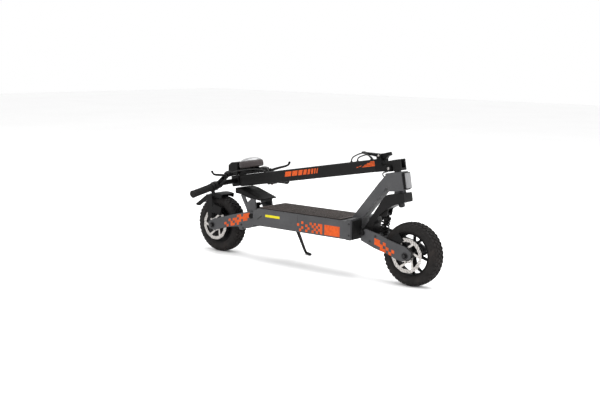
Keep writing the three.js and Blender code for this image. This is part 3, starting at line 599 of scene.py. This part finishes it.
SEAT_GAP = 15.5  # from the foot pin to the coil
COLLAR_GAP = 17.5  # from the top pin to the coil
SHOCK_TRAVEL = {"front": 14.8, "rear": 8.5}  # how much shorter the coil is at its arm's limit

for end, travel in SHOCK_TRAVEL.items():
    joint, up_body, low_body = f"{end}_arm_swing", f"{end}_shock_upper", f"{end}_shock_lower"
    foot, top = Vector(JOINTS[f"{end}_shock_foot"]["pos_m"]), Vector(JOINTS[f"{end}_shock_top"]["pos_m"])
    along = (top - foot).normalized()
    low, high = foot + along * (SEAT_GAP / 1000), top - along * (COLLAR_GAP / 1000)
    spring = make(f"{end}_coil_spring", helix(low, high, 15.0, 2.9, 5.2), BLACK, up_body,
                  replaces=[f"{end}_spring"])
    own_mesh(spring)
    collar_section = [(7.2, -1.5), (18.6, -1.5), (19.2, 0), (19.2, 3), (18.6, 4.5), (11, 4.5), (10.8, 14),
                      (7.2, 14)]
    collar = ring_lathe(collar_section, high, -along, 40,
                        ripple=lambda i, r, h: -0.7 if r > 19 and i % 4 < 2 else 0)
    make(f"{end}_shock_preload_collar", collar, BLACK, up_body)
    seat_section = [(5.3, -3), (18.2, -3), (19.0, -1.6), (18.6, 0), (12.2, 0), (12, 2.5), (5.3, 2.5)]
    seat = ring_lathe(seat_section, low, along, 40)
    make(f"{end}_shock_spring_seat", seat, BLACK, low_body)

# ---------------------------------------------------------------- handlebar, grips and levers

BAR_PATH = [(-844, 0, 171), (-844, 84, 171), (-839, 130, 168), (-832, 176, 162), (-832.7, 214, 155),
            (-835, 309, 140)]
GRIP_END = 314
bar_left = [H(*p) for p in BAR_PATH]
bar_right = [H(x, -y, z) for x, y, z in BAR_PATH[1:]]
make("handlebar_tube", tube(smooth_path([*reversed(bar_right), *bar_left], 8), 11, 24), BLACK, "stem",
     replaces=["handlebar"])


def bar_at(y):
    (x0, y0, z0), (x1, y1, z1) = BAR_PATH[3], BAR_PATH[5]
    t = (abs(y) - y0) / (y1 - y0)
    return H(x0 + (x1 - x0) * t, y, z0 + (z1 - z0) * t)


def grip_shape(side, start):
    inner, outer = bar_at(side * start), bar_at(side * GRIP_END)
    length = (outer - inner).length * 1000
    profile = [(11.2, 0), (15.6, 0), (16.4, 1), (16.4, 4), (15.2, 5)]
    h = 7.0
    while h < length - 12:
        profile += [(14.6, h), (15.4, h + 0.8), (15.4, h + 3.0), (14.6, h + 3.8)]
        h += 4.8
    profile += [(15.0, length - 8), (16.4, length - 6), (16.4, length - 1.2), (15.4, length), (9, length),
                (8.4, length - 1), (0, length - 1)]
    return lathe([(0, 0), *profile], inner, outer - inner, 48,
                 ripple=lambda i, r, h: -0.5 if i % 6 == 0 and r < 16 else 0)


for name, side, start in (("left", 1, 226), ("right", -1, 206)):
    make(f"grip_{name}_ribbed", grip_shape(side, start), GRIP, "stem", replaces=[f"grip_{name}"])

LEVER_PIVOT = (-786, 150, 197)
LEVER_AXIS = Vector((-0.536, 0, 0.844))
LEVER_PATH = [LEVER_PIVOT, (-778, 168, 202), (-769, 196, 206), (-764, 228, 209), (-761, 248, 214),
              (-759, 257, 224)]
lever_axis_row = HEAD_X * LEVER_AXIS.x + HEAD_Z * LEVER_AXIS.z

for name, side in (("left", 1), ("right", -1)):
    pivot = H(LEVER_PIVOT[0], side * LEVER_PIVOT[1], LEVER_PIVOT[2])
    path = smooth_path([H(x, side * y, z) for x, y, z in LEVER_PATH], 8)
    last = len(path) - 1
    width = [5.4 - 1.6 * min(1, i / last * 1.2) + 0.9 * max(0, i / last - 0.85) / 0.15
             for i in range(last + 1)]
    blade = tube(path, width, 16, wide=1.25, up=lever_axis_row.copy())
    ball = lathe([(0, -5.2), (3.2, -4.4), (5.0, -1.6), (5.0, 1.6), (3.2, 4.4), (0, 5.2)],
                 path[-1], path[-1] - path[-2], 20)
    hub = lathe([(0, -4.4), (6.2, -4.4), (6.8, -3.6), (6.8, 3.6), (6.2, 4.4), (0, 4.4)],
                pivot, lever_axis_row, 28)
    pin = lathe([(0, -11), (2, -11), (2, 11), (0, 11)], pivot, lever_axis_row, 14)
    make(f"brake_lever_{name}_blade", join(blade, ball, hub, pin), BLACK, f"brake_lever_{name}",
         replaces=[f"brake_lever_{name}"])
    # clamp screws and the cable's barrel adjuster on the perch
    screw = bolt(H(-826, side * 139, 186), H(0, 0, 1) - H(0, 0, 0), 3.4, 2.4)
    barrel = [(0, -9), (4.6, -9), (4.6, -2), (3.4, -1.4), (3.4, 3), (4.0, 4), (4.0, 8), (2.7, 9), (0, 9)]
    towards_stem = H(-800, side * 118, 206) - H(-812, side * 138, 193)
    adjuster = lathe(barrel, H(-814, side * 140, 191), towards_stem, 20,
                     ripple=lambda i, r, h: -0.4 if r > 4.3 and i % 2 else 0)
    make(f"perch_{name}_fittings", join(screw, adjuster), DARK_STEEL, "stem")
    cylinder = smooth_path([H(-791, side * 141, 203), H(-796, side * 122, 207), H(-803, side * 96, 207)], 6)
    swell = [9.5 + 1.6 * math.sin(math.pi * i / (len(cylinder) - 1)) for i in range(len(cylinder))]
    perch = tube(cylinder, swell, 18, wide=1.3, up=lever_axis_row.copy())
    make(f"perch_{name}_body", perch, BLACK, "stem", bevel=1.0)

ahead_of_bar = H(-1, 0, 0) - H(0, 0, 0)
clamp_bolts = join(*[bolt(H(-868, y, z), ahead_of_bar, 4.0, 2.4) for y in (-20, 20) for z in (154, 188)])
make("bar_clamp_bolts", clamp_bolts, DARK_STEEL, "stem")

button_spots = [(-846, 192, 139, 3.6), (-846, 212, 136, 3.6)]
buttons = join(*[lathe([(0, 0), (r, 0), (r, 2.2), (r * 0.8, 3), (0, 3)], H(x, y, z), ahead_of_bar, 20)
                 for x, y, z, r in button_spots])
make("switch_buttons", buttons, RED, "stem")

# ---------------------------------------------------------------- headlight pod and display

POD_X, POD_R = -764, 54
up_head = H(0, 0, 1) - H(0, 0, 0)
pod_base = H(POD_X, 0, 0)


def pod_fins(i, r, h):
    return -1.0 if i % 2 and 229 < h < 243 and r > 52 else 0


pod_profile = [(0, 223), (POD_R - 12, 223), (POD_R - 5, 224), (POD_R - 1, 228), (POD_R - 0.4, 231),
               (POD_R, 240), (POD_R - 0.4, 244.5), (POD_R - 2.4, 250), (POD_R - 5, 253), (POD_R - 6, 251),
               (0, 251)]
make("headlight_pod", lathe(pod_profile, pod_base, up_head, 144, ripple=pod_fins), POD, "stem", bevel=0.3,
     replaces=["headlight_housing"], sharp=40)
dome = [(0, 251.5), (POD_R - 6.2, 251.5), (POD_R - 6.2, 253.6), (POD_R - 9, 257), (POD_R - 15, 261),
        (POD_R - 23, 264.2), (POD_R - 33, 266.6), (POD_R - 44, 268), (0, 268.4)]
make("headlight_dome_glass", lathe(dome, pod_base, up_head, 96), DOME, "stem", replaces=["headlight_lens"],
     sharp=40)

# the black bracket that carries the headlight and the display over the bar clamp
mount_side = [(-872, 195.4), (-726, 195.4), (-724, 205), (-732, 214), (-742, 223.5), (-800, 223.5),
              (-812, 226), (-818, 205), (-868, 206)]
mount = [prism(mount_side, -24, 24, H)]
for half in (-1, 1):
    cheek = [(-790, 198), (-738, 198), (-744, 219), (-790, 219)]
    mount.append(prism(cheek, *sorted((half * 24, half * 31)), H))
    lead = [H(-800, half * 28, 214), H(-770, half * 36, 208), H(-742, half * 34, 204),
            H(-716, half * 20, 199)]
    mount.append(tube(smooth_path(lead), 3.4, 12))
make("headlight_bracket", join(*mount), BLACK, "stem", bevel=1.2)
screen = prism([(-876.7, 209), (-869.7, 243), (-868.9, 242.8), (-875.9, 208.8)], -31, 31, H)
make("display_screen", screen, GLASS_BLACK, "stem", bevel=0.2)

# ---------------------------------------------------------------- cables

CABLE_R = 2.6


def cable(name, points, body, replaces=()):
    path = smooth_path(points, 7)
    obj = make(name, tube(path, CABLE_R, 14), CABLE, body, replaces=replaces)


STEM_TOP = 194.8  # height of the folded stem's upper face in the head frame
loop_route = [(-208, -14, STEM_TOP), (-208, -14, STEM_TOP + 5), (-198, -14, STEM_TOP + 18), (-170, -14, 222),
              (-146, -14, 224), (-124, -14, 216), (-110, -14, STEM_TOP + 5), (-110, -14, STEM_TOP)]
cable("cable_loop_outer", [H(*p) for p in loop_route], "stem", ["cable_loop"])
inner_route = [(-196, 12, STEM_TOP), (-196, 12, STEM_TOP + 4), (-188, 12, STEM_TOP + 14), (-168, 12, 214),
               (-148, 12, 216), (-132, 12, 209), (-122, 12, STEM_TOP + 4), (-122, 12, STEM_TOP)]
cable("cable_loop_inner", [H(*p) for p in inner_route], "stem")
for name, side in (("left", 1), ("right", -1)):
    route = [(-812, 138, 193), (-800, 118, 206), (-770, 90, 214), (-728, 60, 214), (-700, 30, 210),
             (-680, 12, STEM_TOP + 5), (-680, 12, STEM_TOP)]
    points = [H(x, side * y, z) for x, y, z in route]
    cable(f"brake_cable_{name}_run", points, "stem", [f"brake_cable_{name}"])
dress("neck_cable", CABLE, 0.0)

GROMMET = [(2.8, -0.4), (5.6, -0.4), (5.2, 1.6), (3.6, 2.6), (2.8, 2.6)]
GROMMET_SPOTS = [(-208, -14), (-110, -14), (-196, 12), (-122, 12), (-680, 12), (-680, -12)]
grommets = join(*[ring_lathe(GROMMET, H(x, y, STEM_TOP - 0.2), up_head, 24) for x, y in GROMMET_SPOTS])
make("cable_grommets", grommets, GRIP, "stem")

# ---------------------------------------------------------------- fasteners

ARM_SIDE = {"front": 62, "rear": 68}  # half the width over each pair of arms
SIDES = (("right", -1), ("left", 1))

for tag, side in SIDES:
    out = Y * side
    latch_bolt = bolt(H(-72, side * 15.2, 207), out, 4.4, 3.0)
    make(f"latch_bolt_{tag}", latch_bolt, STEEL, "fold_lever")
    hinge_bolt = bolt(H(-23, side * 30.2, 152), out, 4.4, 2.4)
    make(f"hinge_bolt_{tag}", hinge_bolt, STEEL, "fork")
    pivot = W(FRONT_AXLE - 202, side * 68.2, 194)
    make(f"front_pivot_cap_{tag}", bolt(pivot, out, 11.5, 3.2), BLACK, "fork")
    rear_pivot = W(239, side * 74.2, 196)
    make(f"rear_pivot_cap_{tag}", bolt(rear_pivot, out, 11.5, 3.2), BLACK, "frame")
    for end, x in (("front", FRONT_AXLE), ("rear", 0)):
        axle_end = W(x, side * ARM_SIDE[end], AXLE_Z)
        washer = ring_lathe([(6.2, 0), (14.5, 0), (14.5, 1.4), (14.0, 2.0), (6.2, 2.0)], axle_end, out, 36)
        tip = lathe([(0, 6), (6.1, 6), (6.1, 9.4), (5.2, 10.4), (0, 10.4)], axle_end, out, 24)
        make(f"{end}_axle_washer_{tag}", join(washer, tip), DARK_STEEL, f"{end}_arm")
    for end, x, z in (("front", 888, 188), ("rear", 178, 150)):
        shock_bolt = bolt(W(x, side * ARM_SIDE[end], z), out, 5.0, 2.6)
        make(f"{end}_shock_bolt_{tag}", shock_bolt, DARK_STEEL, f"{end}_arm")
    for end, x, z in (("front", FRONT_AXLE - 166, 164), ("rear", 188, 136)):
        plug_at = W(x, side * ARM_SIDE[end], z)
        plug = lathe([(0, -5), (5.4, -5), (5.4, -1.4), (4.6, -0.8), (0, -0.8)], plug_at, out, 24)
        make(f"{end}_arm_plug_{tag}", plug, RECESS, f"{end}_arm")

nut_profile = [(0, -7), (7.5, -7), (7.5, -4), (11.5, -3.4), (12.8, -2.2), (12.8, 8), (12, 9), (0, 9)]
crown_nut = lathe(nut_profile, H(0, 0, 0), up_head, 6)
make("steerer_nut", crown_nut, DARK_STEEL, "fork", bevel=0.5)

CALIPERS = (("front", FRONT_AXLE - 46, AXLE_Z + 55, -0.7), ("rear", 18, AXLE_Z + 70, 0.25))
for end, x, z, turn in CALIPERS:
    shapes = []
    for dx in (-17, 17):
        # the block turns about the y axis, and its bolts turn with it
        px = x + dx * math.cos(turn)
        pz = z - dx * math.sin(turn)
        shapes.append(bolt(W(px, -37.8, pz), Y, 4.2, 3.0))
    make(f"{end}_caliper_bolts", join(*shapes), STEEL, f"{end}_arm")

# ---------------------------------------------------------------- kickstand

kick = JOINTS["kickstand_swing"]
kick_pivot = Vector(kick["pos_m"])
kick_axis = Vector(kick["axis"]).normalized()
KICK_FOOT = Vector((341, 188, 7))
pivot_mm = Vector((kick_pivot.x * 1000 + MID, kick_pivot.y * 1000, kick_pivot.z * 1000))
leg_points = [pivot_mm, pivot_mm + (KICK_FOOT - pivot_mm) * 0.5, KICK_FOOT + Vector((0, -3, 6)),
              KICK_FOOT + Vector((14, -3, 0)), KICK_FOOT + Vector((36, -12, -0.5))]
leg_path = smooth_path([W(*p) for p in leg_points], 8)
leg_radii = [8.6 - 2.3 * min(1, 2.2 * i / (len(leg_path) - 1)) for i in range(len(leg_path))]
leg = tube(leg_path, leg_radii, 20)
barrel = lathe([(4.7, -8), (9, -8), (9.8, -7), (9.8, 7), (9, 8), (4.7, 8)], kick_pivot, kick_axis, 32)
make("kickstand_leg", join(leg, barrel), BLACK, "kickstand", replaces=["kickstand"])
kick_bolt = bolt(kick_pivot + kick_axis * 0.0124, kick_axis, 7.0, 3.0)
make("kickstand_bolt", kick_bolt, STEEL, "frame")

# ---------------------------------------------------------------- rear fender

SKIRT = 22  # how far the fender's sides reach down from its crown
CROWN_RADIUS = 143
FENDER_TIP = (-131, 209)


def fender_shape():
    stations = []
    for i in range(21):
        a = math.radians(76 + 50 * i / 20)
        spoke = Vector((math.cos(a), math.sin(a)))
        stations.append((spoke * CROWN_RADIUS + Vector((0, AXLE_Z)), spoke))
    last = stations[-1]
    tip = Vector(FENDER_TIP)
    run = (tip - last[0]).normalized()
    out = Vector((run.y, -run.x))
    if out.dot(last[1]) < 0:
        out = -out
    for t in (0.35, 0.7, 1.0):
        stations.append((last[0].lerp(tip, t), out))
    section = [(-SKIRT, -41.6), (-5, -42), (-1.4, -40.4), (0, -36.5), (0, 36.5), (-1.4, 40.4), (-5, 42),
               (-SKIRT, 41.6), (-SKIRT, 38.8), (-5.4, 38.6), (-3.2, 35.5), (-3.2, -35.5), (-5.4, -38.6),
               (-SKIRT, -38.8)]
    verts, faces, n = [], [], len(section)
    for k, (p, d) in enumerate(stations):
        drop = 1.0 if k < len(stations) - 1 else 0.45
        for depth, y in section:
            q = p + d * depth * drop
            verts.append(W(q.x, y, q.y))
    for k in range(len(stations) - 1):
        for i in range(n):
            j = (i + 1) % n
            faces.append((k * n + i, k * n + j, (k + 1) * n + j, (k + 1) * n + i))
    faces += [tuple(range(n - 1, -1, -1)), tuple(range((len(stations) - 1) * n, len(stations) * n))]
    stay = [(-53, 260), (-17, 260), (-13, 240), (-11, 222), (-13, 190), (-17, 160), (-23, 153), (-30, 152),
            (-38, 156), (-42, 166), (-41, 222)]
    shapes = [(verts, faces)]
    for side in (-1, 1):
        y0, y1 = (52, 55) if side > 0 else (-55, -52)
        s0, s1 = (40, 53) if side > 0 else (-53, -40)
        shapes += [prism(stay, y0, y1), slab(-48, -23, s0, s1, 257, 261)]
    return join(*shapes)


make("rear_fender_skin", fender_shape(), PLASTIC, "rear_arm", bevel=0.4, replaces=["rear_fender"])

# ---------------------------------------------------------------- deck, footrest and lamp details

DECK_SIDE = 95  # half the deck's width
RIB_COUNT = 27

ribs = []
for i in range(RIB_COUNT):
    y = -78 + 156 * i / (RIB_COUNT - 1)
    ribs.append(prism([(312, 242.9), (722, 242.9), (721, 243.9), (313, 243.9)], y - 1.5, y + 1.5))
make("deck_mat_ribs", join(*ribs), MAT, "frame")

ridges = []
for i in range(9):
    t = (i + 0.6) / 9.4
    x = 268 - 96 * t
    z = 271.9 + 31.7 * t
    ridge = [(x - 3.2, z + 0.6), (x + 3.2, z - 1.4), (x + 2.2, z + 1.0), (x - 2.4, z + 2.4)]
    ridges.append(prism(ridge, -51, 51))
make("footrest_ridges", join(*ridges), BLACK, "frame")

lamp_ribs = join(*[slab(121.6, 124.2, y - 2.4, y + 2.4, 289, 305) for y in range(-42, 43, 7)])
make("tail_light_ribs", lamp_ribs, RED, "frame", bevel=0.5)

screws = [bolt(W(x, side * 92, 238), Vector((0, 0, 1)), 2.6, 1.4)
          for x in (330, 440, 550, 660) for side in (-1, 1)]
make("deck_edge_screws", join(*screws), DARK_STEEL, "frame")

for tag, side in SIDES:
    out = Y * side
    collar_bolts = join(*[bolt(W(783, side * 97, z), out, 4.0, 2.4) for z in (182, 228)])
    make(f"collar_bolts_{tag}", collar_bolts, DARK_STEEL, "frame")
    bumper = slab(789.8, 795.5, *sorted((side * 26, side * 84)), 165, 240)
    make(f"steering_stop_pad_{tag}", bumper, PLASTIC, "frame", bevel=1.6)

slot_dir = Vector((24, 17)).normalized()
slot_side = Vector((-slot_dir.y, slot_dir.x))
PORT_OUTLINE = [(0, -2.6), (26, -2.6), (28.4, -1.6), (29.4, 0), (28.4, 1.6), (26, 2.6), (0, 2.6), (-2.4, 1.6),
                (-3.4, 0), (-2.4, -1.6)]
port = [Vector((297, 192)) + slot_dir * a + slot_side * b for a, b in PORT_OUTLINE]
make("deck_port", prism([tuple(p) for p in port], -95.3, -94.6), RECESS, "frame")
make("deck_side_seam", slab(516.6, 517.6, -95.15, -94.6, 165, 236), RECESS, "frame")
make("deck_sticker", slab(340, 420, -95.25, -94.7, 206, 216.5), YELLOW, "frame", bevel=0.1)

# ---------------------------------------------------------------- painted blocks

THICK = 0.3
STEM_SIDE = 25  # half the stem's width
BAR_GAP = 6


def blocks(rows, x0, z0, cell_x, cell_z, y, at, side):
    """Small raised rectangles from rows of marks, drawn on a side face; runs of marks are one block."""
    shapes = []
    for k, row in enumerate(rows):
        z = z0 - k * cell_z
        i = 0
        while i < len(row):
            if row[i] != "x":
                i += 1
                continue
            j = i
            while j < len(row) and row[j] == "x":
                j += 1
            lo, hi = x0 + i * cell_x, x0 + j * cell_x
            outline = [(lo, z - cell_z), (hi, z - cell_z), (hi, z), (lo, z)]
            y0, y1 = sorted((y * side - 0.2 * side, (y + THICK) * side))
            shapes.append(prism(outline, y0, y1, at))
            i = j
    return join(*shapes)


DECK_MARKS = [
    "..x...x.x.xx.xxxxxxx",
    "x...x..x.x.x.xxxxxxx",
    "..x..x..x.xx.xxxxxxx",
    ".x..x..x.x.x.xxxxxxx",
]
FRONT_MARKS = [
    "xx.x....",
    "xxx.x.x.",
    "..xx.x..",
]
REAR_MARKS = [
    "......xx.xxx",
    "..x.xx.xxxxx",
    "x..x.xxx.xx.",
    ".x.xx.x.....",
]
STEM_BARS = (34, 28, 22, 17, 13, 10, 7, 5)
STREAKS = [((-180, 169), 8, 3), ((-166, 172), 9, 3), ((-152, 168), 62, 3.8), ((-142, 173.4), 56, 3.8),
           ((-128, 178.8), 44, 3.8), ((-112, 184.2), 30, 3.4)]


def slanted(x, z, width, height, lean, side):
    """A leaning bar on the stem's side."""
    outline = [(x, z), (x + width, z), (x + width + lean, z + height), (x + lean, z + height)]
    return prism(outline, *sorted(((STEM_SIDE - 0.2) * side, (STEM_SIDE + THICK) * side)), H)


def follow_front(x, y, z):
    return W(x, y, z - (x - 884) * 0.28)


def follow_rear(x, y, z):
    return W(x, y, z + (x - 76) * 0.25)


for tag, side in SIDES:
    deck_blocks = blocks(DECK_MARKS, 516, 211, 11, 10.5, DECK_SIDE, W, side)
    make(f"deck_blocks_{tag}", deck_blocks, ORANGE, "frame")
    front_blocks = blocks(FRONT_MARKS, 884, 181, 13.5, 13, ARM_SIDE["front"], follow_front, side)
    make(f"front_arm_blocks_{tag}", front_blocks, ORANGE, "front_arm")
    rear_blocks = blocks(REAR_MARKS, 76, 171, 12.5, 11, ARM_SIDE["rear"], follow_rear, side)
    make(f"rear_arm_blocks_{tag}", rear_blocks, ORANGE, "rear_arm")
    bars, x = [], -560
    for width in STEM_BARS:
        bars.append(slanted(x, 165, width, 21, 7, side))
        x += width + BAR_GAP
    make(f"stem_bars_{tag}", join(*bars), ORANGE, "stem")
    streaks = [slanted(x, z, width, height, height * 1.6, side) for (x, z), width, height in STREAKS]
    make(f"stem_streaks_{tag}", join(*streaks), ORANGE, "stem")

# ---------------------------------------------------------------- floor, light and camera

FLOOR = shader("studio_floor", 0.7)
ramp(FLOOR, noise(FLOOR, 1.2, 3), [(0.3, (0.94, 0.94, 0.94)), (0.7, (0.96, 0.96, 0.96))])
bpy.ops.mesh.primitive_grid_add(x_subdivisions=4, y_subdivisions=4, size=30, location=(0, 0, 0))
floor = bpy.context.object
floor.name = "studio_floor"
floor.data.materials.append(FLOOR)

world = bpy.context.scene.world or bpy.data.worlds.new("studio")
bpy.context.scene.world = world
world.use_nodes = True
background = world.node_tree.nodes["Background"]
background.inputs["Color"].default_value = (1.0, 1.0, 1.0, 1)
background.inputs["Strength"].default_value = 1.0
bpy.context.scene.view_settings.view_transform = "Standard"


def area_light(name, place, target, size, power):
    data = bpy.data.lights.new(name, "AREA")
    data.shape = "RECTANGLE"
    data.size, data.size_y = size
    data.energy = power
    obj = bpy.data.objects.new(name, data)
    bpy.context.scene.collection.objects.link(obj)
    obj.location = place
    obj.rotation_euler = (Vector(target) - Vector(place)).to_track_quat("-Z", "Y").to_euler()


area_light("overhead", (0.2, 0.3, 3.2), (0, 0, 0.2), (4.5, 3.0), 150)
area_light("key", (-1.2, -3.4, 2.2), (0, 0, 0.25), (2.4, 1.6), 60)
area_light("rim", (3.4, 0.8, 1.6), (0.3, 0, 0.25), (1.6, 1.6), 45)

camera_data = bpy.data.cameras.new("camera")
camera = bpy.data.objects.new("camera", camera_data)
bpy.context.scene.collection.objects.link(camera)
bpy.context.scene.camera = camera
camera_data.lens = 58.38
camera_data.sensor_width = 36
EYE = (3025.2, -3204.3, 897.8)
AIM = (453, 0, 281)
ROLL = 0.807  # degrees
eye = W(*EYE)
ahead = (W(*AIM) - eye).normalized()
level = ahead.cross(Vector((0, 0, 1))).normalized()
roll = math.radians(ROLL)
above = level.cross(ahead)
right = level * math.cos(roll) + above * math.sin(roll)
up = above * math.cos(roll) - level * math.sin(roll)
turn = Matrix((right, up, -ahead)).transposed().to_4x4()
camera.matrix_world = Matrix.Translation(eye) @ turn
camera_data.clip_start = 0.05
camera_data.clip_end = 100
